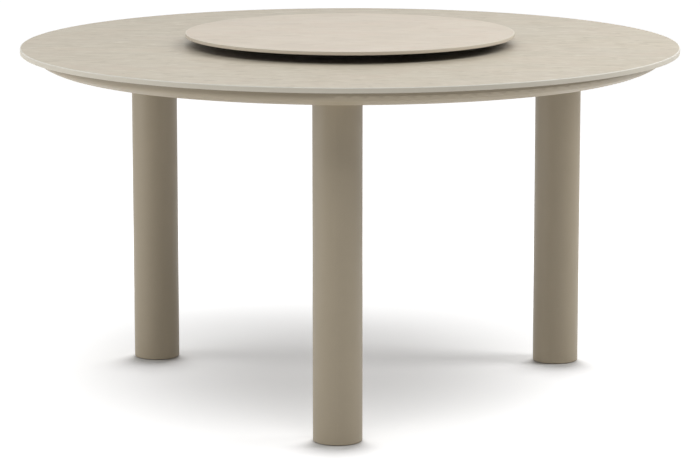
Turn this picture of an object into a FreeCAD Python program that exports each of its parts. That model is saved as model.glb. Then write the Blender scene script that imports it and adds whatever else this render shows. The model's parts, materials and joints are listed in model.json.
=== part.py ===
import FreeCAD, Part
import os
import Sketcher
from FreeCAD import Placement, Rotation, Vector

# Round dining table on three tubular legs, with a ball-bearing lazy susan in the middle.
# Origin on the floor under the centre of the top, +Z up, one leg towards -Y. Millimetres.

doc = FreeCAD.newDocument("dining_table")
sheet = doc.addObject("Spreadsheet::Sheet", "dim")

# Driving sizes
sizes = {
    "table_height": (740, "floor to the upper face of the slab"),
    "top_diameter": (1400, "slab"),
    "top_thickness": (11, "slab"),
    "top_arris": (2, "bevel on the upper edge of the slab"),
    "top_under_arris": (0.8, "bevel on the lower edge of the slab"),
    "bond_thickness": (2, "silicone pads between frame and slab"),
    "bond_diameter": (36, "silicone pads"),
    "bond_edge": (6, "hub plate edge to its pads"),
    "bond_count": (12, "pads round the ring"),
    "hub_bond_count": (3, "pads on the hub"),
    "ring_overhang": (38, "slab edge past the outer wall of the frame ring"),
    "ring_height": (33, "frame ring"),
    "ring_wall": (3, "frame ring section"),
    "ring_flange": (100, "outer wall of the ring to the inner edge of the flange"),
    "ring_corner_radius": (12, "tight upper bend of the rounded lower edge"),
    "ring_sweep_radius": (100, "wide lower bend of the rounded lower edge"),
    "ring_sweep_width": (57, "outer wall to the flat of the lower lip"),
    "ring_lip": (6, "flat of the lower lip"),
    "arm_width": (30, "frame arm tube"),
    "arm_wall": (2.5, "frame arm tube"),
    "arm_root_gap": (3, "arm ends at the table axis"),
    "arm_end_gap": (3, "arm end to the lip of the ring"),
    "hub_diameter": (180, "plates over and under the arms"),
    "hub_thickness": (4, "lower hub plate"),
    "leg_inset": (145, "outer wall of the ring to the leg axis"),
    "leg_diameter": (100, "leg tube"),
    "leg_wall": (3, "leg tube"),
    "leg_floor_gap": (1.5, "floor to the lower end of the tube"),
    "leg_edge_radius": (1.5, "rounding on the lower end of the tube"),
    "mount_thickness": (6, "plate between arm and leg"),
    "mount_rim": (10, "plate past the leg tube"),
    "head_thickness": (10, "tapped disc in the top of the leg"),
    "fit_gap": (0.1, "clearance of pieces that are pressed or screwed together"),
    "bolt_diameter": (8, "leg bolts"),
    "bolt_hole_gap": (0.5, "clearance of the bolts in the mount plate"),
    "bolt_head_diameter": (13, "leg bolts"),
    "bolt_head_height": (8, "leg bolts"),
    "bolt_wall_gap": (7, "bolt axis to the inside of the leg tube"),
    "bolt_arm_gap": (1, "washer to the side of the arm"),
    "washer_diameter": (16, "leg washers"),
    "washer_thickness": (1.6, "leg washers"),
    "plug_setback": (1, "end of the leg tube to the plug in it"),
    "plug_depth": (30, "skirt of the plug"),
    "plug_skirt": (3, "wall of the plug"),
    "plug_web": (5, "floor of the plug"),
    "plug_boss": (30, "diameter of the boss round the nut"),
    "plug_rib": (2.5, "thickness of the ribs"),
    "plug_rib_height": (14, "ribs between boss and skirt"),
    "plug_rib_count": (6, "ribs"),
    "nut_across": (17, "hexagon nut, across flats"),
    "nut_length": (30, "hexagon nut"),
    "stud_diameter": (10, "levelling stud"),
    "stud_length": (50, "levelling stud with its button"),
    "stud_tip": (1, "bevel on the tip of the stud"),
    "stud_run_gap": (0.08, "stud in the nut"),
    "button_diameter": (16, "button end of the stud"),
    "button_height": (4, "button end of the stud"),
    "swivel_gap": (0.3, "button in the pad"),
    "pad_diameter": (44, "levelling pad"),
    "pad_height": (11, "levelling pad"),
    "pad_rim": (6, "straight side of the pad"),
    "pad_floor": (2.5, "pad under the button"),
    "pad_lip": (4, "pad wall round the button"),
    "pad_edge": (1, "bevel where the pad meets the floor"),
    "pad_side_gap": (2, "pad to the recess in the plug"),
    "pad_top_gap": (0.5, "pad to the web of the plug"),
    "susan_diameter": (700, "lazy susan disc"),
    "susan_thickness": (7.5, "lazy susan disc"),
    "susan_arris": (1, "bevel on the upper edge of the disc"),
    "susan_under_arris": (0.5, "bevel on the lower edge of the disc"),
    "backing_diameter": (420, "plate bonded under the disc"),
    "backing_thickness": (3, "plate bonded under the disc"),
    "ball_circle": (298, "diameter of the circle of ball centres"),
    "ball_diameter": (6, "bearing balls"),
    "ball_gap": (0.2, "balls in their grooves and cage"),
    "ball_count": (24, "bearing balls"),
    "race_gap": (2.4, "between the two rings"),
    "race_width": (15, "each ring"),
    "race_height": (12, "base ring"),
    "race_bevel": (1.5, "outer upper edge of the base ring"),
    "turn_clear": (1, "turn ring above the underside of the base ring"),
    "turn_rise": (2, "turn ring above the top of the base ring"),
    "cage_thickness": (1.2, "ball cage"),
    "cage_height": (9, "ball cage"),
    "screw_diameter": (5, "screws of the turn ring"),
    "screw_head_diameter": (8.5, "screws of the turn ring"),
    "screw_head_height": (3, "screws of the turn ring"),
    "screw_sink": (0.5, "screw heads below the face of the turn ring"),
    "screw_gap": (0.3, "screws in the turn ring"),
    "screw_tip_gap": (0.5, "screw tips below the disc"),
    "screw_count": (6, "screws of the turn ring"),
    "rubber_diameter": (12, "feet under the base ring"),
    "rubber_thickness": (2, "feet under the base ring"),
    "rubber_count": (8, "feet under the base ring"),
}
for row, (alias, (number, feature)) in enumerate(sizes.items(), 1):
    sheet.set(f"A{row}", feature)
    sheet.set(f"B{row}", str(number))
    sheet.setAlias(f"B{row}", alias)
doc.recompute()

# Legs, feet and frame arms stand evenly about the table axis, the first of them towards -Y,
# and neighbouring arms meet there at half the angle between them
full_turn = 360
leg_names = ("front", "right", "left")
leg_spacing = full_turn / len(leg_names)
leg_angles = {name: index * leg_spacing - full_turn / 4 for index, name in enumerate(leg_names)}
arm_meeting_angle = leg_spacing / 2

# Levels of the table, as expressions on the sheet
slab_bottom = "(dim.table_height - dim.top_thickness)"
frame_top = f"({slab_bottom} - dim.bond_thickness)"
frame_bottom = f"({frame_top} - dim.ring_height)"
flange_bottom = f"({frame_top} - dim.ring_wall)"
leg_top = f"({frame_bottom} - dim.mount_thickness)"
head_bottom = f"({leg_top} - dim.head_thickness)"
plug_bottom = "(dim.leg_floor_gap + dim.plug_setback)"
web_bottom = "(dim.pad_height + dim.pad_top_gap)"

# Levels of the lazy susan
base_bottom = "(dim.table_height + dim.rubber_thickness)"
ball_level = f"({base_bottom} + dim.race_height / 2)"
turn_bottom = f"({base_bottom} + dim.turn_clear)"
turn_height = "(dim.race_height - dim.turn_clear + dim.turn_rise)"
backing_bottom = f"({base_bottom} + dim.race_height + dim.turn_rise)"
disc_bottom = f"({backing_bottom} + dim.backing_thickness)"

# Radii shared by pieces that meet
ring_radius = "(dim.top_diameter / 2 - dim.ring_overhang)"
sweep_flat = f"({ring_radius} - dim.ring_sweep_width)"
lip_radius = f"({sweep_flat} - dim.ring_lip)"
arm_height = "(dim.ring_height - dim.ring_wall)"
leg_circle = f"({ring_radius} - dim.leg_inset)"
leg_inside = "(dim.leg_diameter / 2 - dim.leg_wall)"
bolt_side = "(dim.arm_width / 2 + dim.bolt_arm_gap + dim.washer_diameter / 2)"
bolt_along = f"sqrt(({leg_inside} - dim.bolt_wall_gap)^2 - {bolt_side}^2)"
base_inside = "(dim.ball_circle / 2 + dim.race_gap / 2)"
turn_outside = "(dim.ball_circle / 2 - dim.race_gap / 2)"
groove_diameter = "(dim.ball_diameter + 2 * dim.ball_gap)"
groove_depth = f"({groove_diameter} / 2 - dim.race_gap / 2)"
screw_circle = f"({turn_outside} - (dim.race_width + {groove_depth}) / 2)"

parts = []
tolerance = 1e-4


def value(expression):
    return float(sheet.evalExpression(expression))


def origin_feature(body, role):
    return next(item for item in body.Origin.OriginFeatures if item.Role == role)


def new_body(label):
    body = doc.addObject("PartDesign::Body", label)
    body.Label = label
    parts.append(body)
    return body


def place(body, height, angle=0, radius=None):
    body.Placement = Placement(Vector(), Rotation(Vector(0, 0, 1), angle))
    body.setExpression("Placement.Base.z", height)
    if radius:
        body.setExpression("Placement.Base.x", f"{radius} * cos({angle})")
        body.setExpression("Placement.Base.y", f"{radius} * sin({angle})")


def new_sketch(body, name, role="XY_Plane", offset=None):
    sketch = body.newObject("Sketcher::SketchObject", name)
    sketch.AttachmentSupport = [(origin_feature(body, role), "")]
    sketch.MapMode = "FlatFace"
    if offset:
        sketch.setExpression("AttachmentOffset.Base.z", offset)
    return sketch


def bind(sketch, constraint, expression):
    index = sketch.addConstraint(constraint)
    sketch.setExpression(f"Constraints[{index}]", expression)


def locate(sketch, element, point, x, y):
    # Ties a point to its two distances from the sketch origin
    for kind, axis, size in (("DistanceX", -2, x), ("DistanceY", -1, y)):
        if size == "0":
            sketch.addConstraint(Sketcher.Constraint("PointOnObject", element, point, axis))
        elif size.startswith("-"):
            size = size[1:]
            bind(sketch, Sketcher.Constraint(kind, element, point, -1, 1, value(size)), size)
        else:
            bind(sketch, Sketcher.Constraint(kind, -1, 1, element, point, value(size)), size)


def outline(sketch, corners):
    first = sketch.GeometryCount
    points = [Vector(value(x), value(y), 0) for x, y in corners]
    for start, end in zip(points, points[1:] + points[:1]):
        sketch.addGeometry(Part.LineSegment(start, end))
    for index, (x, y) in enumerate(corners):
        following = first + (index + 1) % len(corners)
        sketch.addConstraint(Sketcher.Constraint("Coincident", first + index, 2, following, 1))
        locate(sketch, first + index, 1, x, y)


def circle(sketch, diameter, x="0", y="0"):
    centre = Vector(value(x), value(y), 0)
    element = sketch.addGeometry(Part.Circle(centre, Vector(0, 0, 1), value(diameter) / 2))
    locate(sketch, element, 3, x, y)
    bind(sketch, Sketcher.Constraint("Diameter", element, value(diameter)), diameter)


def four_circles(sketch, diameter, x, y):
    for signed_x in (x, f"-{x}"):
        for signed_y in (y, f"-{y}"):
            circle(sketch, diameter, signed_x, signed_y)


def hexagon(sketch, across):
    corner = f"({across} / sqrt(3))"
    half_corner = f"({across} / sqrt(12))"
    flat = f"({across} / 2)"
    outline(sketch, [
        (corner, "0"), (half_corner, flat), (f"-{half_corner}", flat),
        (f"-{corner}", "0"), (f"-{half_corner}", f"-{flat}"), (half_corner, f"-{flat}"),
    ])


def pad(body, sketch, length):
    feature = body.newObject("PartDesign::Pad", f"{sketch.Name}_pad")
    feature.Profile = sketch
    feature.setExpression("Length", length)
    doc.recompute()
    return feature


def check_cut(feature):
    if feature.Shape.Volume > feature.BaseFeature.Shape.Volume - tolerance:
        raise RuntimeError(f"{feature.Name} cuts nothing")
    return feature


def pocket(body, sketch, depth=None):
    # Cuts upwards from the sketch, through everything where no depth is given
    feature = body.newObject("PartDesign::Pocket", f"{sketch.Name}_pocket")
    feature.Profile = sketch
    feature.Reversed = True
    if depth:
        feature.setExpression("Length", depth)
    else:
        feature.Type = "ThroughAll"
    doc.recompute()
    return check_cut(feature)


def revolve(body, sketch, kind="Revolution"):
    feature = body.newObject(f"PartDesign::{kind}", f"{sketch.Name}_turned")
    feature.Profile = sketch
    feature.ReferenceAxis = (origin_feature(body, "Z_Axis"), [""])
    feature.Angle = full_turn
    doc.recompute()
    return feature


def dress(body, base, kind, size, radius, height):
    # Bevels or rounds the circular edges of one radius at one height
    names = []
    for index, edge in enumerate(base.Shape.Edges, 1):
        curve = edge.Curve
        if isinstance(curve, Part.Circle) and abs(curve.Radius - value(radius)) < tolerance:
            if abs(curve.Center.z - value(height)) < tolerance:
                names.append(f"Edge{index}")
    feature = body.newObject(f"PartDesign::{kind}", f"{base.Name}_{kind.lower()}")
    feature.Base = (base, names)
    feature.setExpression("Radius" if kind == "Fillet" else "Size", size)
    doc.recompute()
    return feature


def polar(body, features, count):
    pattern = body.newObject("PartDesign::PolarPattern", f"{features[0].Name}_round")
    pattern.Originals = features
    pattern.Axis = (origin_feature(body, "Z_Axis"), [""])
    pattern.Angle = full_turn
    pattern.setExpression("Occurrences", count)
    body.Tip = pattern
    doc.recompute()
    return pattern


def bevelled_disc(label, height, diameter, thickness, upper_bevel, lower_bevel):
    body = new_body(label)
    sketch = new_sketch(body, f"{label}_plan")
    circle(sketch, diameter)
    disc = pad(body, sketch, thickness)
    upper = dress(body, disc, "Chamfer", upper_bevel, f"{diameter} / 2", thickness)
    dress(body, upper, "Chamfer", lower_bevel, f"{diameter} / 2", "0")
    place(body, height)


def bond_pads():
    body = new_body("bond_pads")
    for name, radius, count in (
        ("ring_pads", f"({ring_radius} - dim.ring_flange / 2)", "dim.bond_count"),
        ("hub_pads", "(dim.hub_diameter / 2 - dim.bond_edge - dim.bond_diameter / 2)", "dim.hub_bond_count"),
    ):
        sketch = new_sketch(body, name)
        circle(sketch, "dim.bond_diameter", radius)
        polar(body, [pad(body, sketch, "dim.bond_thickness")], count)
    place(body, frame_top)


def arc(sketch, centre, radius, start, end):
    return sketch.addGeometry(Part.ArcOfCircle(Part.Circle(centre, Vector(0, 0, 1), radius), start, end))


def frame_ring():
    # Rolled apron: outer wall, and a lower edge swept inwards in two tangent bends
    body = new_body("frame_ring")
    sketch = new_sketch(body, "ring_section", "XZ_Plane")
    outside = value(ring_radius)
    flat = value(sweep_flat)
    lip = value(lip_radius)
    height = value("dim.ring_height")
    wall = value("dim.ring_wall")
    corner = value("dim.ring_corner_radius")
    sweep = value("dim.ring_sweep_radius")
    run = outside - corner - flat
    rise = ((sweep - corner) ** 2 - run ** 2) ** 0.5
    corner_centre = Vector(outside - corner, sweep - rise, 0)
    sweep_centre = Vector(flat, sweep, 0)
    downward = -Vector(1, 0, 0).getAngle(Vector(0, 1, 0))
    meeting = -Vector(1, 0, 0).getAngle(Vector(run, -rise, 0))

    def line(x1, y1, x2, y2, direction):
        element = sketch.addGeometry(Part.LineSegment(Vector(x1, y1, 0), Vector(x2, y2, 0)))
        sketch.addConstraint(Sketcher.Constraint(direction, element))
        return element

    outer_wall = line(outside, height, outside, corner_centre.y, "Vertical")
    lip_under = line(flat, 0, lip, 0, "Horizontal")
    lip_end = line(lip, 0, lip, wall, "Vertical")
    lip_over = line(lip, wall, flat, wall, "Horizontal")
    inner_wall = line(outside - wall, corner_centre.y, outside - wall, height, "Vertical")
    upper_edge = line(outside - wall, height, outside, height, "Horizontal")
    outer_corner = arc(sketch, corner_centre, corner, meeting, 0)
    outer_sweep = arc(sketch, sweep_centre, sweep, downward, meeting)
    inner_sweep = arc(sketch, sweep_centre, sweep - wall, downward, meeting)
    inner_corner = arc(sketch, corner_centre, corner - wall, meeting, 0)

    tangents = [
        (outer_wall, 2, outer_corner, 2), (outer_corner, 1, outer_sweep, 2), (outer_sweep, 1, lip_under, 1),
        (lip_over, 2, inner_sweep, 1), (inner_sweep, 2, inner_corner, 1), (inner_corner, 2, inner_wall, 1),
    ]
    for joint in tangents:
        sketch.addConstraint(Sketcher.Constraint("Tangent", *joint))
    corners = [(lip_under, lip_end), (lip_end, lip_over), (inner_wall, upper_edge), (upper_edge, outer_wall)]
    for before, after in corners:
        sketch.addConstraint(Sketcher.Constraint("Coincident", before, 2, after, 1))
    sketch.addConstraint(Sketcher.Constraint("Coincident", inner_sweep, 3, outer_sweep, 3))

    locate(sketch, outer_wall, 1, ring_radius, "dim.ring_height")
    locate(sketch, lip_under, 1, sweep_flat, "0")
    locate(sketch, lip_over, 1, lip_radius, "dim.ring_wall")
    bind(sketch, Sketcher.Constraint("DistanceX", -1, 1, inner_wall, 2, outside - wall),
         f"{ring_radius} - dim.ring_wall")
    for element, size in (
        (outer_corner, "dim.ring_corner_radius"),
        (inner_corner, "dim.ring_corner_radius - dim.ring_wall"),
        (outer_sweep, "dim.ring_sweep_radius"),
    ):
        bind(sketch, Sketcher.Constraint("Radius", element, value(size)), size)
    revolve(body, sketch)
    place(body, frame_bottom)


def frame_flange():
    # Flat ring let into the top of the apron, over the arms
    body = new_body("frame_flange")
    sketch = new_sketch(body, "flange_plan")
    circle(sketch, f"(2 * ({ring_radius} - dim.ring_wall - dim.fit_gap))")
    circle(sketch, f"(2 * ({ring_radius} - dim.ring_flange))")
    pad(body, sketch, "dim.ring_wall")
    place(body, flange_bottom)


def frame_arm(station, angle):
    # Box tube from the hub to the ring, under the flange
    body = new_body(f"frame_arm_{station}")
    root = f"(dim.arm_width / 2 / tan({arm_meeting_angle}) + dim.arm_root_gap)"
    side = "dim.arm_width / 2"
    inner_side = "(dim.arm_width / 2 - dim.arm_wall)"
    inner_top = f"({arm_height} - dim.arm_wall)"
    sketch = new_sketch(body, f"arm_section_{station}", "YZ_Plane", root)
    outline(sketch, [(f"-{side}", "0"), (side, "0"), (side, arm_height), (f"-{side}", arm_height)])
    outline(sketch, [
        (f"-{inner_side}", "dim.arm_wall"), (inner_side, "dim.arm_wall"),
        (inner_side, inner_top), (f"-{inner_side}", inner_top),
    ])
    pad(body, sketch, f"{lip_radius} - dim.arm_end_gap - {root}")
    place(body, frame_bottom, angle)


def hub_plate(label, thickness, height):
    body = new_body(label)
    sketch = new_sketch(body, f"{label}_plan")
    circle(sketch, "dim.hub_diameter")
    pad(body, sketch, thickness)
    place(body, height)


def leg_mount(station, angle):
    body = new_body(f"leg_mount_{station}")
    plan = new_sketch(body, f"mount_plan_{station}")
    circle(plan, "(dim.leg_diameter + 2 * dim.mount_rim)")
    pad(body, plan, "dim.mount_thickness")
    holes = new_sketch(body, f"mount_holes_{station}")
    four_circles(holes, "(dim.bolt_diameter + 2 * dim.bolt_hole_gap)", bolt_along, bolt_side)
    pocket(body, holes)
    place(body, leg_top, angle, leg_circle)


def leg_tube(station, angle):
    body = new_body(f"leg_tube_{station}")
    sketch = new_sketch(body, f"tube_section_{station}")
    circle(sketch, "dim.leg_diameter")
    circle(sketch, f"(2 * {leg_inside})")
    tube = pad(body, sketch, f"{leg_top} - dim.leg_floor_gap")
    dress(body, tube, "Fillet", "dim.leg_edge_radius", "dim.leg_diameter / 2", "0")
    place(body, "dim.leg_floor_gap", angle, leg_circle)


def leg_head(station, angle):
    body = new_body(f"leg_head_{station}")
    plan = new_sketch(body, f"head_plan_{station}")
    circle(plan, f"(2 * ({leg_inside} - dim.fit_gap))")
    pad(body, plan, "dim.head_thickness")
    holes = new_sketch(body, f"head_holes_{station}")
    four_circles(holes, "(dim.bolt_diameter + 2 * dim.fit_gap)", bolt_along, bolt_side)
    pocket(body, holes)
    place(body, head_bottom, angle, leg_circle)


def leg_bolts(station, angle):
    body = new_body(f"leg_bolts_{station}")
    length = "(dim.head_thickness + dim.mount_thickness + dim.washer_thickness)"
    shanks = new_sketch(body, f"bolt_shanks_{station}")
    four_circles(shanks, "dim.bolt_diameter", bolt_along, bolt_side)
    pad(body, shanks, length)
    heads = new_sketch(body, f"bolt_heads_{station}", offset=length)
    four_circles(heads, "dim.bolt_head_diameter", bolt_along, bolt_side)
    pad(body, heads, "dim.bolt_head_height")
    place(body, head_bottom, angle, leg_circle)


def leg_washers(station, angle):
    body = new_body(f"leg_washers_{station}")
    sketch = new_sketch(body, f"washer_plan_{station}")
    four_circles(sketch, "dim.washer_diameter", bolt_along, bolt_side)
    four_circles(sketch, "(dim.bolt_diameter + 2 * dim.bolt_hole_gap)", bolt_along, bolt_side)
    pad(body, sketch, "dim.washer_thickness")
    place(body, frame_bottom, angle, leg_circle)


def leg_plug(station, angle):
    # Moulded plug: recess for the pad below, ribbed boss for the nut above
    body = new_body(f"leg_plug_{station}")
    web = f"({web_bottom} - {plug_bottom})"
    web_top = f"({web} + dim.plug_web)"
    recess = "(dim.pad_diameter / 2 + dim.pad_side_gap)"
    outside = f"({leg_inside} - dim.fit_gap)"
    skirt = f"({outside} - dim.plug_skirt)"
    boss = "(dim.plug_boss / 2)"
    boss_top = f"({web} + dim.nut_length)"
    section = new_sketch(body, f"plug_section_{station}", "XZ_Plane")
    outline(section, [
        ("0", web), (recess, web), (recess, "0"), (outside, "0"), (outside, "dim.plug_depth"),
        (skirt, "dim.plug_depth"), (skirt, web_top), (boss, web_top), (boss, boss_top), ("0", boss_top),
    ])
    revolve(body, section)
    rib = new_sketch(body, f"plug_rib_{station}", offset=web_top)
    rib_side = "(dim.plug_rib / 2)"
    rib_root = f"({boss} - dim.plug_rib)"
    rib_end = f"({skirt} + dim.plug_skirt / 2)"
    outline(rib, [
        (rib_root, f"-{rib_side}"), (rib_end, f"-{rib_side}"), (rib_end, rib_side), (rib_root, rib_side),
    ])
    polar(body, [pad(body, rib, "dim.plug_rib_height")], "dim.plug_rib_count")
    socket = new_sketch(body, f"plug_socket_{station}")
    hexagon(socket, "(dim.nut_across + 2 * dim.fit_gap)")
    pocket(body, socket)
    place(body, plug_bottom, angle, leg_circle)


def foot_nut(station, angle):
    body = new_body(f"foot_nut_{station}")
    sketch = new_sketch(body, f"nut_plan_{station}")
    hexagon(sketch, "dim.nut_across")
    circle(sketch, "(dim.stud_diameter + 2 * dim.stud_run_gap)")
    pad(body, sketch, "dim.nut_length")
    place(body, web_bottom, angle, leg_circle)


def foot_stud(station, angle):
    body = new_body(f"foot_stud_{station}")
    button = "(dim.button_diameter / 2)"
    shank = "(dim.stud_diameter / 2)"
    sketch = new_sketch(body, f"stud_section_{station}", "XZ_Plane")
    outline(sketch, [
        ("0", "0"), (button, "0"), (button, "dim.button_height"), (shank, "dim.button_height"),
        (shank, "(dim.stud_length - dim.stud_tip)"), (f"({shank} - dim.stud_tip)", "dim.stud_length"),
        ("0", "dim.stud_length"),
    ])
    revolve(body, sketch)
    place(body, "dim.pad_floor + dim.swivel_gap", angle, leg_circle)


def foot_pad(station, angle):
    # Swivel pad, closed round the button of the stud
    body = new_body(f"foot_pad_{station}")
    outside = "(dim.pad_diameter / 2)"
    mouth = "(dim.stud_diameter / 2 + dim.swivel_gap)"
    hollow = "(dim.button_diameter / 2 + dim.swivel_gap)"
    hollow_top = "(dim.pad_floor + dim.button_height + 2 * dim.swivel_gap)"
    sketch = new_sketch(body, f"pad_section_{station}", "XZ_Plane")
    outline(sketch, [
        ("0", "0"), (f"({outside} - dim.pad_edge)", "0"), (outside, "dim.pad_edge"), (outside, "dim.pad_rim"),
        (f"({hollow} + dim.pad_lip)", "dim.pad_height"), (mouth, "dim.pad_height"), (mouth, hollow_top),
        (hollow, hollow_top), (hollow, "dim.pad_floor"), ("0", "dim.pad_floor"),
    ])
    revolve(body, sketch)
    place(body, "0", angle, leg_circle)


def race(label, bottom, inside, outside, height):
    # Bearing ring with a round groove for the balls; returns the body and the grooved feature
    body = new_body(label)
    section = new_sketch(body, f"{label}_section", "XZ_Plane")
    outline(section, [(inside, "0"), (outside, "0"), (outside, height), (inside, height)])
    revolve(body, section)
    groove = new_sketch(body, f"{label}_groove", "XZ_Plane")
    circle(groove, groove_diameter, "(dim.ball_circle / 2)", f"({ball_level} - {bottom})")
    grooved = check_cut(revolve(body, groove, "Groove"))
    place(body, bottom)
    return body, grooved


def susan_base_ring():
    outside = f"({base_inside} + dim.race_width)"
    body, grooved = race("susan_base_ring", base_bottom, base_inside, outside, "dim.race_height")
    dress(body, grooved, "Chamfer", "dim.race_bevel", outside, "dim.race_height")


def susan_turn_ring():
    inside = f"({turn_outside} - dim.race_width)"
    body, grooved = race("susan_turn_ring", turn_bottom, inside, turn_outside, turn_height)
    shank = new_sketch(body, "turn_ring_shank_hole")
    circle(shank, "(dim.screw_diameter + 2 * dim.screw_gap)", screw_circle)
    head = new_sketch(body, "turn_ring_head_hole")
    circle(head, "(dim.screw_head_diameter + 2 * dim.screw_gap)", screw_circle)
    cuts = [pocket(body, shank), pocket(body, head, "dim.screw_sink + dim.screw_head_height")]
    polar(body, cuts, "dim.screw_count")


def susan_backing():
    body = new_body("susan_backing")
    plan = new_sketch(body, "backing_plan")
    circle(plan, "dim.backing_diameter")
    pad(body, plan, "dim.backing_thickness")
    hole = new_sketch(body, "backing_hole")
    circle(hole, "(dim.screw_diameter + 2 * dim.fit_gap)", screw_circle)
    polar(body, [pocket(body, hole)], "dim.screw_count")
    place(body, backing_bottom)


def susan_screws():
    body = new_body("susan_screws")
    head = new_sketch(body, "screw_head")
    circle(head, "dim.screw_head_diameter", screw_circle)
    shank = new_sketch(body, "screw_shank")
    circle(shank, "dim.screw_diameter", screw_circle)
    length = f"{turn_height} - dim.screw_sink + dim.backing_thickness - dim.screw_tip_gap"
    polar(body, [pad(body, head, "dim.screw_head_height"), pad(body, shank, length)], "dim.screw_count")
    place(body, f"{turn_bottom} + dim.screw_sink")


def susan_cage():
    # Strip bent into a ring, with a window for each ball
    body = new_body("susan_cage")
    section = new_sketch(body, "cage_section", "XZ_Plane")
    inside = "(dim.ball_circle / 2 - dim.cage_thickness / 2)"
    outside = "(dim.ball_circle / 2 + dim.cage_thickness / 2)"
    outline(section, [
        (inside, "0"), (outside, "0"), (outside, "dim.cage_height"), (inside, "dim.cage_height"),
    ])
    revolve(body, section)
    window = new_sketch(body, "cage_window", "YZ_Plane")
    circle(window, groove_diameter, "0", "(dim.cage_height / 2)")
    polar(body, [pocket(body, window)], "dim.ball_count")
    place(body, f"{ball_level} - dim.cage_height / 2")


def susan_balls():
    body = new_body("susan_balls")
    ball = body.newObject("PartDesign::AdditiveSphere", "ball")
    ball.AttachmentSupport = [(origin_feature(body, "XY_Plane"), "")]
    ball.MapMode = "FlatFace"
    ball.setExpression("AttachmentOffset.Base.x", "dim.ball_circle / 2")
    ball.setExpression("Radius", "dim.ball_diameter / 2")
    doc.recompute()
    polar(body, [ball], "dim.ball_count")
    place(body, ball_level)


def susan_feet():
    body = new_body("susan_feet")
    sketch = new_sketch(body, "rubber_plan")
    circle(sketch, "dim.rubber_diameter", f"({base_inside} + dim.race_width / 2)")
    polar(body, [pad(body, sketch, "dim.rubber_thickness")], "dim.rubber_count")
    place(body, "dim.table_height")


# Top and frame
bevelled_disc("table_top", slab_bottom, "dim.top_diameter", "dim.top_thickness",
              "dim.top_arris", "dim.top_under_arris")
bond_pads()
frame_ring()
frame_flange()
hub_plate("hub_upper_plate", "dim.ring_wall", flange_bottom)
hub_plate("hub_lower_plate", "dim.hub_thickness", f"{frame_bottom} - dim.hub_thickness")

# Legs with their levelling feet
for station, angle in leg_angles.items():
    for piece in (frame_arm, leg_mount, leg_tube, leg_head, leg_bolts, leg_washers,
                  leg_plug, foot_nut, foot_stud, foot_pad):
        piece(station, angle)

# Lazy susan on its ball-bearing turntable
bevelled_disc("susan_disc", disc_bottom, "dim.susan_diameter", "dim.susan_thickness",
              "dim.susan_arris", "dim.susan_under_arris")
susan_backing()
susan_turn_ring()
susan_base_ring()
susan_cage()
susan_balls()
susan_screws()
susan_feet()

doc.recompute()
for item in doc.Objects:
    if "Invalid" in item.State or "Error" in item.State:
        raise RuntimeError(f"{item.Label} failed: {item.State}")
for part in parts:
    if part.Shape.isNull() or not part.Shape.isValid():
        raise RuntimeError(f"{part.Label} has no valid shape")

os.makedirs("parts", exist_ok=True)
for part in parts:
    part.Shape.exportStep(f"parts/{part.Label}.step")
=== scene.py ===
import bpy
import bmesh
import json
import math
from mathutils import Matrix, Vector


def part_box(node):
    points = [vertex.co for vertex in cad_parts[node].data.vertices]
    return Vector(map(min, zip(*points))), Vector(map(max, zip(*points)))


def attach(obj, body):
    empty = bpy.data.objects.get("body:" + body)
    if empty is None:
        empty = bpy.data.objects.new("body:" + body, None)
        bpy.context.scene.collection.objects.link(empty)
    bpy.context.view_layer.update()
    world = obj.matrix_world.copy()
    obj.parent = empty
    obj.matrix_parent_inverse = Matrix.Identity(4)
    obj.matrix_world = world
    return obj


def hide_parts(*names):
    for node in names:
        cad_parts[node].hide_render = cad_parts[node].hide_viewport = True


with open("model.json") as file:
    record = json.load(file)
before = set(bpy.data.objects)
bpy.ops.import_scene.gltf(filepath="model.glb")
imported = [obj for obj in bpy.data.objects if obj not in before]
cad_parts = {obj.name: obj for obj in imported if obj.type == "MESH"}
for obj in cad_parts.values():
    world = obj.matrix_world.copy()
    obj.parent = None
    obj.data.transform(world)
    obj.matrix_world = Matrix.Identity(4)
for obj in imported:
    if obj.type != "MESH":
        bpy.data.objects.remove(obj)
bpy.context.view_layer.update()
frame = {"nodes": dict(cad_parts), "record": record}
nodes = frame["nodes"]
scene = bpy.context.scene
scene.view_settings.view_transform = "Standard"
legNames = ("front", "right", "left")
print("frame loaded:", len(nodes), "nodes")


# camera, from a fit of the table's ellipses and legs in the photograph

cameraSet = {
    "azimuth": 2.755,        # degrees round from the front leg
    "distance": 6.864,       # along the floor, from the table's axis
    "height": 1.571,
    "pitch": 10.25,          # degrees down
    "focalPixels": 3240.7,
    "imageWidth": 700,
    "sensorWidth": 36,
}


def makeCamera():
    data = bpy.data.cameras.new("photoCamera")
    data.sensor_width = cameraSet["sensorWidth"]
    data.lens = cameraSet["focalPixels"] * cameraSet["sensorWidth"] / cameraSet["imageWidth"]
    camera = bpy.data.objects.new("photoCamera", data)
    turn = math.radians(cameraSet["azimuth"])
    camera.location = (
        cameraSet["distance"] * math.sin(turn),
        -cameraSet["distance"] * math.cos(turn),
        cameraSet["height"],
    )
    camera.rotation_euler = (math.radians(90 - cameraSet["pitch"]), 0, turn)
    scene.collection.objects.link(camera)
    scene.camera = camera


makeCamera()
print("camera placed")


# node helpers

nodeSet = {
    "span": (0.3, 0.7),       # part of a noise that a ramp or a spread uses, if not told otherwise
    "mixSockets": (0, 6, 7),  # factor and the two colours of a colour mix
    "mixResult": 2,
}


def newMaterial(name):
    material = bpy.data.materials.new(name)
    material.use_nodes = True
    return material, material.node_tree, material.node_tree.nodes["Principled BSDF"]


def addNode(tree, kind, **settings):
    node = tree.nodes.new(kind)
    for key, setting in settings.items():
        setattr(node, key, setting)
    return node


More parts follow.
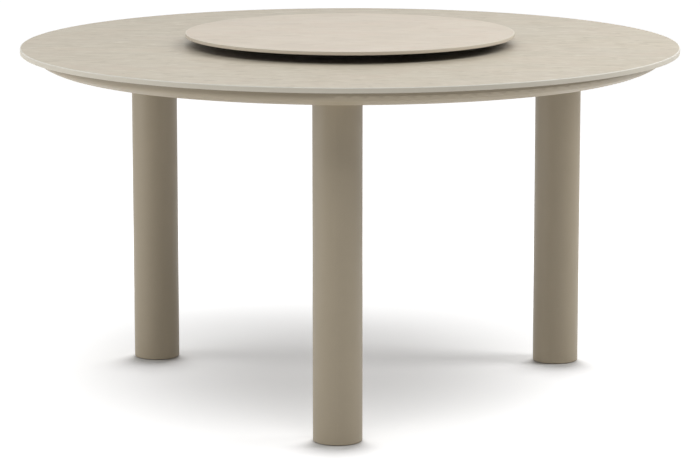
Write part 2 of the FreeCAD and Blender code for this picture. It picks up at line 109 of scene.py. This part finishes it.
def objectPlace(tree, scale=(1, 1, 1), shift=(0, 0, 0)):
    coordinates = addNode(tree, "ShaderNodeTexCoord")
    mapping = addNode(tree, "ShaderNodeMapping")
    mapping.inputs["Scale"].default_value = scale
    mapping.inputs["Location"].default_value = shift
    tree.links.new(coordinates.outputs["Object"], mapping.inputs["Vector"])
    return mapping.outputs["Vector"]


def noise(tree, place, scale=1, detail=4, rough=0.5, warp=0):
    node = addNode(tree, "ShaderNodeTexNoise")
    node.inputs["Scale"].default_value = scale
    node.inputs["Detail"].default_value = detail
    node.inputs["Roughness"].default_value = rough
    node.inputs["Distortion"].default_value = warp
    tree.links.new(place, node.inputs["Vector"])
    return node.outputs["Fac"]


def ramp(tree, factor, low, high, span=nodeSet["span"]):
    node = addNode(tree, "ShaderNodeValToRGB")
    for element, position, colour in zip(node.color_ramp.elements, span, (low, high)):
        element.position = position
        element.color = (*colour, 1)
    tree.links.new(factor, node.inputs["Fac"])
    return node.outputs["Color"]


def spread(tree, factor, low, high, span=nodeSet["span"], ease="LINEAR"):
    node = addNode(tree, "ShaderNodeMapRange", interpolation_type=ease)
    node.inputs["From Min"].default_value, node.inputs["From Max"].default_value = span
    for socket, item in (("To Min", low), ("To Max", high)):
        if isinstance(item, (int, float)):
            node.inputs[socket].default_value = item
        else:
            tree.links.new(item, node.inputs[socket])
    tree.links.new(factor, node.inputs["Value"])
    return node.outputs["Result"]


def blendColour(tree, factor, first, second, mode="MIX"):
    node = addNode(tree, "ShaderNodeMix", data_type="RGBA", blend_type=mode)
    for socket, item in zip(nodeSet["mixSockets"], (factor, first, second)):
        if isinstance(item, (int, float)):
            node.inputs[socket].default_value = item
        elif isinstance(item, tuple):
            node.inputs[socket].default_value = (*item, 1)
        else:
            tree.links.new(item, node.inputs[socket])
    return node.outputs[nodeSet["mixResult"]]


def length(tree, place):
    node = addNode(tree, "ShaderNodeVectorMath", operation="LENGTH")
    tree.links.new(place, node.inputs[0])
    return node.outputs["Value"]


def bump(tree, shader, height, strength, distance):
    node = addNode(tree, "ShaderNodeBump")
    node.inputs["Strength"].default_value = strength
    node.inputs["Distance"].default_value = distance
    tree.links.new(height, node.inputs["Height"])
    tree.links.new(node.outputs["Normal"], shader.inputs["Normal"])


# stone-look ceramic: short streaks along X, soft clouds, dark and light marks, fine grain

stoneSet = {
    "top": {
        "node": "table_top",
        "pale": (0.672, 0.612, 0.500),
        "deep": (0.580, 0.516, 0.404),
        "blush": (0.655, 0.562, 0.450),
        "mark": (0.465, 0.408, 0.310),
        "glint": (0.770, 0.716, 0.606),
        # cut edge colour, partly its own tone and partly painted light, then the arris colour, a
        # painted highlight
        "edge": (0.780, 0.728, 0.618),
        "arris": (0.950, 0.920, 0.840),
        "streak": (14, 30, 30),  # scale of a noise along X, Y and Z
        "cloud": (4, 7, 7),
        "fleck": (30, 62, 62),
        "cloudShare": 0.45,
        "markShare": 0.55,
    },
    "susan": {
        "node": "susan_disc",
        "pale": (0.780, 0.700, 0.590),
        "deep": (0.690, 0.604, 0.492),
        "blush": (0.755, 0.640, 0.528),
        "mark": (0.600, 0.518, 0.408),
        "glint": (0.815, 0.745, 0.635),
        # cut edge colour, partly its own tone and partly painted light, then the arris colour, a
        # painted highlight
        "edge": (0.755, 0.685, 0.572),
        "arris": (0.830, 0.760, 0.650),
        "streak": (9, 14, 14),
        "cloud": (6, 9, 9),
        "fleck": (24, 40, 40),
        "cloudShare": 0.60,
        "markShare": 0.35,
    },
    "streaks": {"warp": 0.4},
    "streakSpan": (0.38, 0.60),
    "clouds": {"warp": 0.6},
    "cloudSpan": (0.36, 0.62),
    "blushes": {"scale": 1.5, "detail": 3, "warp": 0.6},
    "blushShift": (7.4, 2.6, 0.9),
    "blushSpan": (0.45, 0.70),
    "blushShare": 0.5,
    "marks": {"detail": 3, "warp": 0.6},
    "markShift": (5.2, 1.7, 0.4),
    "glintShift": (2.9, 8.3, 3.1),
    "markSpan": (0.56, 0.72),
    "grain": {"scale": 900, "detail": 3, "rough": 0.6},
    "grainTones": ((0.94, 0.93, 0.91), (1.0, 1.0, 1.0)),
    "grainSpan": (0.30, 0.60),
    "grainShare": 0.6,
    "grainBump": (0.12, 0.0002),  # strength and depth
    "roughness": (0.44, 0.58),
    "specular": 0.35,
    "edgeDepth": 0.0015,     # cut edge, paler than the face, partly its own tone and partly painted light
    "edgeShare": 0.90,
    "arrisHighlightDepth": 0.0020,    # and its arris, paler again: a painted highlight
}
backingSet = {
    "rise": 0.0002,          # of the slab's underside that counts as its backing
    "meshScale": 63,
    "meshWarp": 0.6,
    "meshDetail": 4,
    "meshSpan": (0.75, 0.95),
    "thread": (0.110, 0.080, 0.055),
    "resin": (0.058, 0.040, 0.027),
}


def faceColour(tree, look, clouds, grain):
    streaks = noise(tree, objectPlace(tree, look["streak"]), **stoneSet["streaks"])
    streaked = ramp(tree, streaks, look["deep"], look["pale"], stoneSet["streakSpan"])
    clouded = ramp(tree, clouds, look["deep"], look["pale"], stoneSet["cloudSpan"])
    colour = blendColour(tree, look["cloudShare"], streaked, clouded)
    blushPlace = objectPlace(tree, look["cloud"], shift=stoneSet["blushShift"])
    blushes = noise(tree, blushPlace, **stoneSet["blushes"])
    amount = spread(tree, blushes, 0, stoneSet["blushShare"], stoneSet["blushSpan"])
    colour = blendColour(tree, amount, colour, look["blush"])
    for tone in ("mark", "glint"):
        markPlace = objectPlace(tree, look["fleck"], shift=stoneSet[tone + "Shift"])
        marks = noise(tree, markPlace, **stoneSet["marks"])
        amount = spread(tree, marks, 0, look["markShare"], stoneSet["markSpan"])
        colour = blendColour(tree, amount, colour, look[tone])
    fleck = ramp(tree, grain, *stoneSet["grainTones"], stoneSet["grainSpan"])
    return blendColour(tree, stoneSet["grainShare"], colour, fleck, "MULTIPLY")


def backingColour(tree, place):
    threads = addNode(tree, "ShaderNodeMath", operation="MAXIMUM")
    for socket, direction in enumerate(("X", "Y")):
        weave = addNode(tree, "ShaderNodeTexWave", bands_direction=direction)
        weave.inputs["Scale"].default_value = backingSet["meshScale"]
        weave.inputs["Distortion"].default_value = backingSet["meshWarp"]
        weave.inputs["Detail Scale"].default_value = backingSet["meshDetail"]
        tree.links.new(place, weave.inputs["Vector"])
        tree.links.new(weave.outputs["Fac"], threads.inputs[socket])
    return ramp(tree, threads.outputs[0], backingSet["resin"], backingSet["thread"],
                backingSet["meshSpan"])


def stoneMaterial(name, look):
    material, tree, shader = newMaterial(name)
    place = objectPlace(tree)
    clouds = noise(tree, objectPlace(tree, look["cloud"]), **stoneSet["clouds"])
    grain = noise(tree, place, **stoneSet["grain"])
    colour = faceColour(tree, look, clouds, grain)
    low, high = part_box(look["node"])
    # the cut edge is painted paler, partly its own tone and partly painted light
    edgeStart = high.x - stoneSet["edgeDepth"]
    edge = spread(tree, length(tree, objectPlace(tree, (1, 1, 0))), 0, stoneSet["edgeShare"],
                  (edgeStart - stoneSet["edgeDepth"], edgeStart))
    height = addNode(tree, "ShaderNodeSeparateXYZ")
    tree.links.new(place, height.inputs[0])
    # painted highlight along the top arris, paler towards the top face
    highlightStart = high.z - stoneSet["arrisHighlightDepth"]
    upper = spread(tree, height.outputs["Z"], 0, 1, (highlightStart, (highlightStart + high.z) / 2))
    edgeToneAndHighlight = blendColour(tree, upper, look["edge"], look["arris"])
    colour = blendColour(tree, edge, colour, edgeToneAndHighlight)
    under = addNode(tree, "ShaderNodeMath", operation="LESS_THAN")
    under.inputs[1].default_value = low.z + backingSet["rise"]
    tree.links.new(height.outputs["Z"], under.inputs[0])
    colour = blendColour(tree, under.outputs[0], colour, backingColour(tree, place))
    tree.links.new(colour, shader.inputs["Base Color"])
    tree.links.new(spread(tree, clouds, *stoneSet["roughness"]), shader.inputs["Roughness"])
    bump(tree, shader, grain, *stoneSet["grainBump"])
    shader.inputs["Specular IOR Level"].default_value = stoneSet["specular"]
    return material


# powder coat: even taupe with a fine orange peel and a few rubbed patches

coatSet = {
    "colour": (0.445, 0.375, 0.267),
    "rubbed": (0.472, 0.400, 0.289),
    "patches": {"scale": 7, "detail": 5, "rough": 0.6, "warp": 0.3},
    "patchSpan": (0.35, 0.75),
    "peel": {"scale": 1100, "detail": 2},
    "peelTones": ((0.90, 0.90, 0.90), (1.0, 1.0, 1.0)),
    "peelSpan": (0.28, 0.55),
    "peelShare": 0.5,
    "peelBump": (0.35, 0.00012),  # strength and depth
    "roughness": (0.42, 0.52),
    "specular": 0.5,
}


def coatMaterial():
    material, tree, shader = newMaterial("powderCoat")
    place = objectPlace(tree)
    patches = noise(tree, place, **coatSet["patches"])
    peel = noise(tree, place, **coatSet["peel"])
    colour = ramp(tree, patches, coatSet["colour"], coatSet["rubbed"], coatSet["patchSpan"])
    speck = ramp(tree, peel, *coatSet["peelTones"], coatSet["peelSpan"])
    colour = blendColour(tree, coatSet["peelShare"], colour, speck, "MULTIPLY")
    tree.links.new(colour, shader.inputs["Base Color"])
    tree.links.new(spread(tree, patches, *coatSet["roughness"]), shader.inputs["Roughness"])
    bump(tree, shader, peel, *coatSet["peelBump"])
    shader.inputs["Specular IOR Level"].default_value = coatSet["specular"]
    return material


# plain dark or metal finishes, each with its own grain

grainSet = {
    "fine": {"detail": 4, "rough": 0.55},
    "wide": {"scale": 25, "detail": 3},
    "wideShare": 0.5,
    "bump": 0.4,
}
finishSet = {
    "silicone": {
        "low": (0.40, 0.39, 0.36), "high": (0.52, 0.51, 0.48), "metal": 0.0,
        "rough": (0.40, 0.55), "scale": 60, "stretch": (1, 1, 1), "depth": 0.0002,
    },
    "bareAlloy": {
        "low": (0.60, 0.60, 0.61), "high": (0.74, 0.74, 0.75), "metal": 1.0,
        "rough": (0.28, 0.42), "scale": 40, "stretch": (1, 30, 1), "depth": 0.00004,
    },
    "bearingAlloy": {
        "low": (0.50, 0.50, 0.51), "high": (0.66, 0.66, 0.67), "metal": 1.0,
        "rough": (0.24, 0.38), "scale": 30, "stretch": (1, 1, 40), "depth": 0.00004,
    },
    "blackCoat": {
        "low": (0.010, 0.010, 0.010), "high": (0.022, 0.021, 0.020), "metal": 0.0,
        "rough": (0.55, 0.75), "scale": 800, "stretch": (1, 1, 1), "depth": 0.0001,
    },
    "platedSteel": {
        "low": (0.46, 0.46, 0.48), "high": (0.62, 0.61, 0.60), "metal": 1.0,
        "rough": (0.25, 0.45), "scale": 120, "stretch": (1, 1, 6), "depth": 0.00005,
    },
    "ballSteel": {
        "low": (0.66, 0.66, 0.68), "high": (0.76, 0.76, 0.78), "metal": 1.0,
        "rough": (0.06, 0.14), "scale": 400, "stretch": (1, 1, 1), "depth": 0.00001,
    },
    "blackNylon": {
        "low": (0.020, 0.020, 0.020), "high": (0.045, 0.044, 0.043), "metal": 0.0,
        "rough": (0.45, 0.65), "scale": 500, "stretch": (1, 1, 1), "depth": 0.0001,
    },
    "padNylon": {
        "low": (0.045, 0.040, 0.036), "high": (0.080, 0.072, 0.064), "metal": 0.0,
        "rough": (0.50, 0.70), "scale": 350, "stretch": (1, 1, 1), "depth": 0.0001,
    },
    "rubber": {
        "low": (0.015, 0.015, 0.015), "high": (0.035, 0.034, 0.033), "metal": 0.0,
        "rough": (0.70, 0.85), "scale": 600, "stretch": (1, 1, 1), "depth": 0.0001,
    },
}


def finishMaterial(name):
    look = finishSet[name]
    material, tree, shader = newMaterial(name)
    shader.inputs["Metallic"].default_value = look["metal"]
    grain = noise(tree, objectPlace(tree, look["stretch"]), look["scale"], **grainSet["fine"])
    wide = noise(tree, objectPlace(tree), **grainSet["wide"])
    fineTone = ramp(tree, grain, look["low"], look["high"])
    wideTone = ramp(tree, wide, look["low"], look["high"])
    tone = blendColour(tree, grainSet["wideShare"], fineTone, wideTone)
    tree.links.new(tone, shader.inputs["Base Color"])
    tree.links.new(spread(tree, grain, *look["rough"]), shader.inputs["Roughness"])
    bump(tree, shader, grain, grainSet["bump"], look["depth"])
    return material


slotMaterials = {
    "stone_top": stoneMaterial("topStone", stoneSet["top"]),
    "stone_susan": stoneMaterial("susanStone", stoneSet["susan"]),
    "frame_coat": coatMaterial(),
    "silicone": finishMaterial("silicone"),
    "bare_alloy": finishMaterial("bareAlloy"),
    "bearing_alloy": finishMaterial("bearingAlloy"),
    "black_coat": finishMaterial("blackCoat"),
    "steel": finishMaterial("platedSteel"),
    "ball_steel": finishMaterial("ballSteel"),
    "nylon": finishMaterial("blackNylon"),
    "pad_nylon": finishMaterial("padNylon"),
    "rubber": finishMaterial("rubber"),
}
for part in frame["record"]["subparts"]:
    node = nodes[part["node"]]
    node.data.materials.clear()
    node.data.materials.append(slotMaterials[part["material_slot"]])
print("materials made:", len(slotMaterials))


# new pieces, each finished as the slot that it takes

pieceSet = {
    "sharpAngle": 35,        # degrees, past which an edge is shaded sharp
    "nearEnough": 1e-6,      # points closer than this are one
}


def newPiece(name, shape, body, slot, *stoodFor):
    bmesh.ops.recalc_face_normals(shape, faces=shape.faces[:])
    mesh = bpy.data.meshes.new(name)
    shape.to_mesh(mesh)
    shape.free()
    mesh.shade_smooth()
    mesh.set_sharp_from_angle(angle=math.radians(pieceSet["sharpAngle"]))
    mesh.materials.append(slotMaterials[slot])
    piece = bpy.data.objects.new(name, mesh)
    scene.collection.objects.link(piece)
    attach(piece, body)
    if stoodFor:
        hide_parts(*stoodFor)


def vertsOf(made):
    return [item for item in made["geom"] if isinstance(item, bmesh.types.BMVert)]


def edgesOf(made):
    return [item for item in made["geom"] if isinstance(item, bmesh.types.BMEdge)]


def addShape(shape, part, place):
    bmesh.ops.transform(part, matrix=place, verts=part.verts[:])
    carrier = bpy.data.meshes.new("carrier")
    part.to_mesh(carrier)
    part.free()
    shape.from_mesh(carrier)
    bpy.data.meshes.remove(carrier)


def drawProfile(part, profile):
    corners = [part.verts.new((across, 0, up)) for across, up in profile]
    edges = [part.edges.new(pair) for pair in zip(corners, corners[1:])]
    return corners + edges


def mergeDoubles(part):
    bmesh.ops.remove_doubles(part, verts=part.verts[:], dist=pieceSet["nearEnough"])


def turned(part, profile, steps):
    bmesh.ops.spin(part, geom=drawProfile(part, profile), cent=(0, 0, 0), axis=(0, 0, 1),
                   angle=math.tau, steps=steps, use_merge=True)
    mergeDoubles(part)


def legPlace(legName):
    low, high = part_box("leg_tube_" + legName)
    middle = (low + high) / 2
    spot = Vector((middle.x, middle.y, 0))
    return spot, Matrix.Rotation(math.atan2(spot.y, spot.x), 4, "Z")


# slabs with eased arrises

slabSet = {
    "topSlab": {"node": "table_top", "body": "table", "slot": "stone_top",
                "arris": 0.0020, "underArris": 0.0008},
    "susanSlab": {"node": "susan_disc", "body": "turntable", "slot": "stone_susan",
                  "arris": 0.0010, "underArris": 0.0005},
    "segments": 288,
    "arrisSteps": 5,
    "flatMargin": 0.003,     # keeps the flat faces flat-shaded next to the arris
}


def makeSlab(name):
    look = slabSet[name]
    low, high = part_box(look["node"])
    shape = bmesh.new()
    bmesh.ops.create_circle(shape, cap_ends=True, radius=(high.x - low.x) / 2,
                            segments=slabSet["segments"], matrix=Matrix.Translation((0, 0, low.z)))
    raised = bmesh.ops.extrude_face_region(shape, geom=shape.faces[:], use_keep_orig=True)
    bmesh.ops.translate(shape, verts=vertsOf(raised), vec=(0, 0, high.z - low.z))
    for level, arris in ((high.z, look["arris"]), (low.z, look["underArris"])):
        rim = [edge for edge in shape.edges
               if all(abs(vert.co.z - level) < pieceSet["nearEnough"] for vert in edge.verts)]
        bmesh.ops.bevel(shape, geom=rim, offset=arris, affect="EDGES",
                        segments=slabSet["arrisSteps"], profile=0.5, material=-1)
    flats = [face for face in shape.faces if len(face.verts) > 4]  # the two round faces
    bmesh.ops.inset_individual(shape, faces=flats, thickness=slabSet["flatMargin"], depth=0)
    newPiece(name, shape, look["body"], look["slot"], look["node"])


makeSlab("topSlab")
makeSlab("susanSlab")
print("slabs made")


# welds under the frame: a rippled bead where an arm meets the hub, a leg plate or the flange

weldSet = {
    "radius": 0.0024,
    "ripple": 0.0017,        # run of one ripple
    "swell": 0.16,           # share of the radius that a ripple stands out
    "endTaper": 0.6,         # share of the radius that is left at both ends
    "sides": 10,
    "sink": 0.0006,          # into the corner that it fills
    "endMargin": 0.0015,
    "flangeInside": 0.562,   # inner edge of the flange, from the table's axis
}


def weldBead(shape, start, end):
    run = end - start
    steps = 2 * round(run.length / weldSet["ripple"])  # a wide and a narrow ring to each ripple
    aim = Matrix.Translation(start) @ run.to_track_quat("Z", "Y").to_matrix().to_4x4()
    made = bmesh.ops.create_circle(shape, cap_ends=True,
                                   radius=weldSet["radius"] * weldSet["endTaper"],
                                   segments=weldSet["sides"], matrix=aim)
    edges = list({edge for vert in made["verts"] for edge in vert.link_edges})
    before = weldSet["endTaper"]
    for step in range(1, steps + 1):
        width = weldSet["endTaper"] if step == steps else 1 + weldSet["swell"] * (step % 2)
        grown = bmesh.ops.extrude_edge_only(shape, edges=edges)
        edges = edgesOf(grown)
        verts = vertsOf(grown)
        bmesh.ops.translate(shape, verts=verts, vec=run / steps)
        around = Matrix.Translation(-(start + run * step / steps))
        bmesh.ops.scale(shape, verts=verts, vec=(width / before,) * 3, space=around)
        before = width
    bmesh.ops.edgeloop_fill(shape, edges=edges)


def makeWelds(legName):
    shape = bmesh.new()
    spot, turn = legPlace(legName)
    armLow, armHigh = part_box("frame_arm_" + legName)
    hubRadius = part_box("hub_lower_plate")[1].x
    mountLow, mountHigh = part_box("leg_mount_" + legName)
    plateRadius = (mountHigh.x - mountLow.x) / 2
    # the front arm lies square to the axes, so its box gives the size of all three
    frontLow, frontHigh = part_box("frame_arm_front")
    halfArm = (frontHigh.x - frontLow.x) / 2
    across = halfArm - weldSet["endMargin"]
    under = armLow.z - weldSet["sink"]
    for reach in (hubRadius, spot.length - plateRadius, spot.length + plateRadius):
        start, end = Vector((reach, -across, under)), Vector((reach, across, under))
        weldBead(shape, turn @ start, turn @ end)
    flangeStart = weldSet["flangeInside"] + weldSet["endMargin"]
    armEnd = -frontLow.y - weldSet["endMargin"]
    upper = armHigh.z - weldSet["sink"]
    for side in (-halfArm, halfArm):
        start, end = Vector((flangeStart, side, upper)), Vector((armEnd, side, upper))
        weldBead(shape, turn @ start, turn @ end)
    newPiece("weldBeads_" + legName, shape, "table", "frame_coat")


for legName in legNames:
    makeWelds(legName)
print("welds made")


# socket screws: four in each leg, and those under the turntable

screwSet = {
    "legBolts": {"head": 0.013, "headHeight": 0.008, "shank": 0.008,
                 "socket": 0.006, "socketDepth": 0.004, "ease": 0.0006},
    "susanScrews": {"head": 0.0085, "headHeight": 0.003, "shank": 0.005,
                    "socket": 0.0035, "socketDepth": 0.0016, "ease": 0.0005, "count": 6},
    "steps": 48,
    "socketSides": 6,
}


def socketScrew(shape, look, reach, place):
    part = bmesh.new()
    head, shank = look["head"] / 2, look["shank"] / 2
    top, ease = look["headHeight"], look["ease"]
    profile = (
        (0, -reach), (shank, -reach), (shank, 0),
        (head, 0), (head, top - ease), (head - ease, top),
    )
    turned(part, profile, screwSet["steps"])
    rim = [edge for edge in part.edges if edge.is_boundary]
    bmesh.ops.create_circle(part, radius=look["socket"] / math.sqrt(3),
                            segments=screwSet["socketSides"],
                            matrix=Matrix.Translation((0, 0, top)))
    sides = [edge for edge in part.edges if edge.is_wire]
    cuts = screwSet["steps"] // screwSet["socketSides"] - 1
    bmesh.ops.subdivide_edges(part, edges=sides, cuts=cuts)
    mouth = [edge for edge in part.edges if edge.is_wire]
    bmesh.ops.bridge_loops(part, edges=rim + mouth)
    mouth = [edge for edge in part.edges if edge.is_boundary]
    sunk = bmesh.ops.extrude_edge_only(part, edges=mouth)
    bmesh.ops.translate(part, verts=vertsOf(sunk), vec=(0, 0, -look["socketDepth"]))
    bmesh.ops.edgeloop_fill(part, edges=edgesOf(sunk))
    addShape(shape, part, place)


def makeLegBolts(legName):
    look = screwSet["legBolts"]
    low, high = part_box("leg_bolts_" + legName)
    frontLow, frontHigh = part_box("leg_bolts_front")
    beside = (frontHigh.x - frontLow.x - look["head"]) / 2
    along = (frontHigh.y - frontLow.y - look["head"]) / 2
    headBottom = high.z - look["headHeight"]
    spot, turn = legPlace(legName)
    shape = bmesh.new()
    for x in (-along, along):
        for y in (-beside, beside):
            place = Matrix.Translation(spot) @ turn @ Matrix.Translation((x, y, headBottom))
            socketScrew(shape, look, headBottom - low.z, place)
    newPiece("legBolts_" + legName, shape, "table", "steel", "leg_bolts_" + legName)


def makeSusanScrews():
    look = screwSet["susanScrews"]
    low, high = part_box("susan_screws")
    circle = high.x - look["head"] / 2
    headTop = low.z + look["headHeight"]
    headDown = Matrix.Translation((circle, 0, headTop)) @ Matrix.Rotation(math.pi, 4, "X")
    shape = bmesh.new()
    for index in range(look["count"]):
        turn = Matrix.Rotation(math.tau * index / look["count"], 4, "Z")
        socketScrew(shape, look, high.z - headTop, turn @ headDown)
    newPiece("susanScrews", shape, "turntable", "steel", "susan_screws")


for legName in legNames:
    makeLegBolts(legName)
makeSusanScrews()
print("screws made")


# levelling studs with a rolled thread

studSet = {
    "pitch": 0.0015,
    "root": 0.0041,
    "crest": 0.0050,
    "crestShare": 0.12,      # flat on the crest, as a share of the pitch
    "button": 0.004,         # height of the button end
    "ease": 0.0004,          # of the button's edges
    "runOut": 0.0015,        # plain shank over the button and under the tip
    "tip": 0.0010,
    "stepsPerTurn": 28,
}


def studCore(radius, height):
    core = bmesh.new()
    button, ease = studSet["button"], studSet["ease"]
    root, tip = studSet["root"], studSet["tip"]
    profile = (
        (0, 0), (radius - ease, 0), (radius, ease),
        (radius, button - ease), (radius - ease, button), (root, button),
        (root, height - tip), (root - tip, height), (0, height),
    )
    turned(core, profile, studSet["stepsPerTurn"])
    return core


def studThread(height):
    thread = bmesh.new()
    pitch, steps = studSet["pitch"], studSet["stepsPerTurn"]
    root, crest = studSet["root"], studSet["crest"]
    start = studSet["button"] + studSet["runOut"]
    room = height - studSet["tip"] - studSet["runOut"] - start
    turns = math.floor(room / pitch) - 1  # the profile itself is one pitch high
    middle = start + pitch / 2
    flat = studSet["crestShare"] * pitch / 2
    profile = ((root, start), (crest, middle - flat), (crest, middle + flat), (root, start + pitch))
    bmesh.ops.spin(thread, geom=drawProfile(thread, profile), cent=(0, 0, 0), axis=(0, 0, 1),
                   dvec=(0, 0, pitch / steps), angle=math.tau * turns, steps=steps * turns)
    mergeDoubles(thread)
    return thread


def makeStud(legName):
    low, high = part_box("foot_stud_" + legName)
    height = high.z - low.z
    spot = legPlace(legName)[0]
    place = Matrix.Translation((spot.x, spot.y, low.z))
    shape = bmesh.new()
    addShape(shape, studCore((high.x - low.x) / 2, height), place)
    addShape(shape, studThread(height), place)
    newPiece("footStud_" + legName, shape, "stud_" + legName, "steel", "foot_stud_" + legName)


for legName in legNames:
    makeStud(legName)
print("studs made")


# floor and light

floorSet = {
    "size": 60,
    "cells": 8,
    "pale": (0.76, 0.76, 0.76),
    "worn": (0.7524, 0.7524, 0.7524),
    "patches": {"scale": 1.5, "detail": 3},
    "roughness": 0.9,
    "centre": (-0.04, 0.17),      # of the soft shadow painted into the glow
    "narrow": 0.72,               # its depth counts this much beside its width
    "fade": (0.10, 1.00),         # from the middle of the shadow to the open floor
    "lift": (0.38, 1.0),          # glow that the camera sees, more of it away from the table: a painted soft shadow
    "paintedBounce": (0.20, 0.39),       # painted bounce light: glow that lights the table, less from near it
    "footReach": 0.20,            # painted soft shadow in front of each foot
    "footSpan": (0.62, 0.86),     # how open the floor is, from shaded to clear
    "footLean": (0, 0.97, 0.26),  # the way in which that is measured
    "footSamples": 16,
}
lampSet = {
    "overFront": {"place": (0, -2.0, 3.0), "aim": (0, 0, 0.7), "size": (2.4, 1.2), "power": 30},
    "overLeft": {"place": (-2.2, 0.2, 2.6), "aim": (0, 0.2, 0.7), "size": (0.9, 2.0), "power": 17},
    "overRight": {"place": (2.2, 0.2, 2.6), "aim": (0, 0.2, 0.7), "size": (0.9, 2.0), "power": 45},
    "overBack": {"place": (0, 2.2, 2.9), "aim": (0, 0, 0.7), "size": (2.4, 1.2), "power": 10},
    "leftPanel": {"place": (-2.8, -0.8, 1.1), "aim": (0, 0, 0.6), "size": (1.8, 1.8), "power": 12},
    "leftStrip": {"place": (-2.6, -0.9, 0.45), "aim": (0, 0, 0.35), "size": (1.6, 0.8), "power": 3},
}
worldSet = {"ambient": 0.02, "shown": 1.0}
white = (1, 1, 1, 1)


# what the camera sees, also mirrored or through glass, apart from what lights the table
def shownOrLit(tree, lit, shown):
    path = addNode(tree, "ShaderNodeLightPath")
    straight = addNode(tree, "ShaderNodeMath", operation="MAXIMUM")
    seen = addNode(tree, "ShaderNodeMath", operation="MAXIMUM")
    tree.links.new(path.outputs["Is Camera Ray"], straight.inputs[0])
    tree.links.new(path.outputs["Is Glossy Ray"], straight.inputs[1])
    tree.links.new(straight.outputs[0], seen.inputs[0])
    tree.links.new(path.outputs["Is Transmission Ray"], seen.inputs[1])
    return spread(tree, seen.outputs[0], lit, shown, (0, 1))


# painted contact shadow: occlusion, leaned to the back, dims the glow in front of each foot
def paintedFootShadow(tree):
    lean = addNode(tree, "ShaderNodeCombineXYZ")
    for socket, item in enumerate(floorSet["footLean"]):
        lean.inputs[socket].default_value = item
    foot = addNode(tree, "ShaderNodeAmbientOcclusion", samples=floorSet["footSamples"])
    foot.inputs["Distance"].default_value = floorSet["footReach"]
    tree.links.new(lean.outputs[0], foot.inputs["Normal"])
    return spread(tree, foot.outputs["AO"], 0, 1, floorSet["footSpan"])


def floorMaterial():
    material, tree, shader = newMaterial("floorPaint")
    shader.inputs["Roughness"].default_value = floorSet["roughness"]
    shader.inputs["Specular IOR Level"].default_value = 0
    shader.inputs["Emission Color"].default_value = white
    patches = noise(tree, objectPlace(tree), **floorSet["patches"])
    tone = ramp(tree, patches, floorSet["worn"], floorSet["pale"])
    tree.links.new(tone, shader.inputs["Base Color"])
    x, y = floorSet["centre"]
    narrow = floorSet["narrow"]
    # the glow dips near the table: a painted soft shadow, on top of the real shade in the diffuse
    # part
    reach = length(tree, objectPlace(tree, (1, narrow, 1), (-x, -y * narrow, 0)))
    paintedShadowGlow = spread(tree, reach, *floorSet["lift"], floorSet["fade"], "SMOOTHSTEP")
    # the floor glows for the rays that light the table: painted bounce light, less near the table
    paintedBounceLight = spread(tree, reach, *floorSet["paintedBounce"], floorSet["fade"], "SMOOTHSTEP")
    glow = addNode(tree, "ShaderNodeMath", operation="MULTIPLY")
    tree.links.new(paintedShadowGlow, glow.inputs[0])
    tree.links.new(paintedFootShadow(tree), glow.inputs[1])
    strength = shownOrLit(tree, paintedBounceLight, glow.outputs[0])
    tree.links.new(strength, shader.inputs["Emission Strength"])
    return material


def makeFloor():
    mesh = bpy.data.meshes.new("floor")
    shape = bmesh.new()
    bmesh.ops.create_grid(shape, x_segments=floorSet["cells"], y_segments=floorSet["cells"],
                          size=floorSet["size"] / 2)
    shape.to_mesh(mesh)
    shape.free()
    mesh.materials.append(floorMaterial())
    floor = bpy.data.objects.new("floor", mesh)
    scene.collection.objects.link(floor)


def makeLamp(name, look):
    data = bpy.data.lights.new(name, "AREA")
    data.shape = "RECTANGLE"
    data.size, data.size_y = look["size"]
    data.energy = look["power"]
    lamp = bpy.data.objects.new(name, data)
    lamp.visible_camera = False
    lamp.location = look["place"]
    sight = Vector(look["aim"]) - Vector(look["place"])
    lamp.rotation_euler = sight.to_track_quat("-Z", "Y").to_euler()
    scene.collection.objects.link(lamp)


def makeWorld():
    world = bpy.data.worlds.new("studio")
    world.use_nodes = True
    scene.world = world
    background = world.node_tree.nodes["Background"]
    background.inputs["Color"].default_value = white
    strength = shownOrLit(world.node_tree, worldSet["ambient"], worldSet["shown"])
    world.node_tree.links.new(strength, background.inputs["Strength"])


makeFloor()
for lampName, lampLook in lampSet.items():
    makeLamp(lampName, lampLook)
makeWorld()
print("floor and", len(lampSet), "lamps placed")
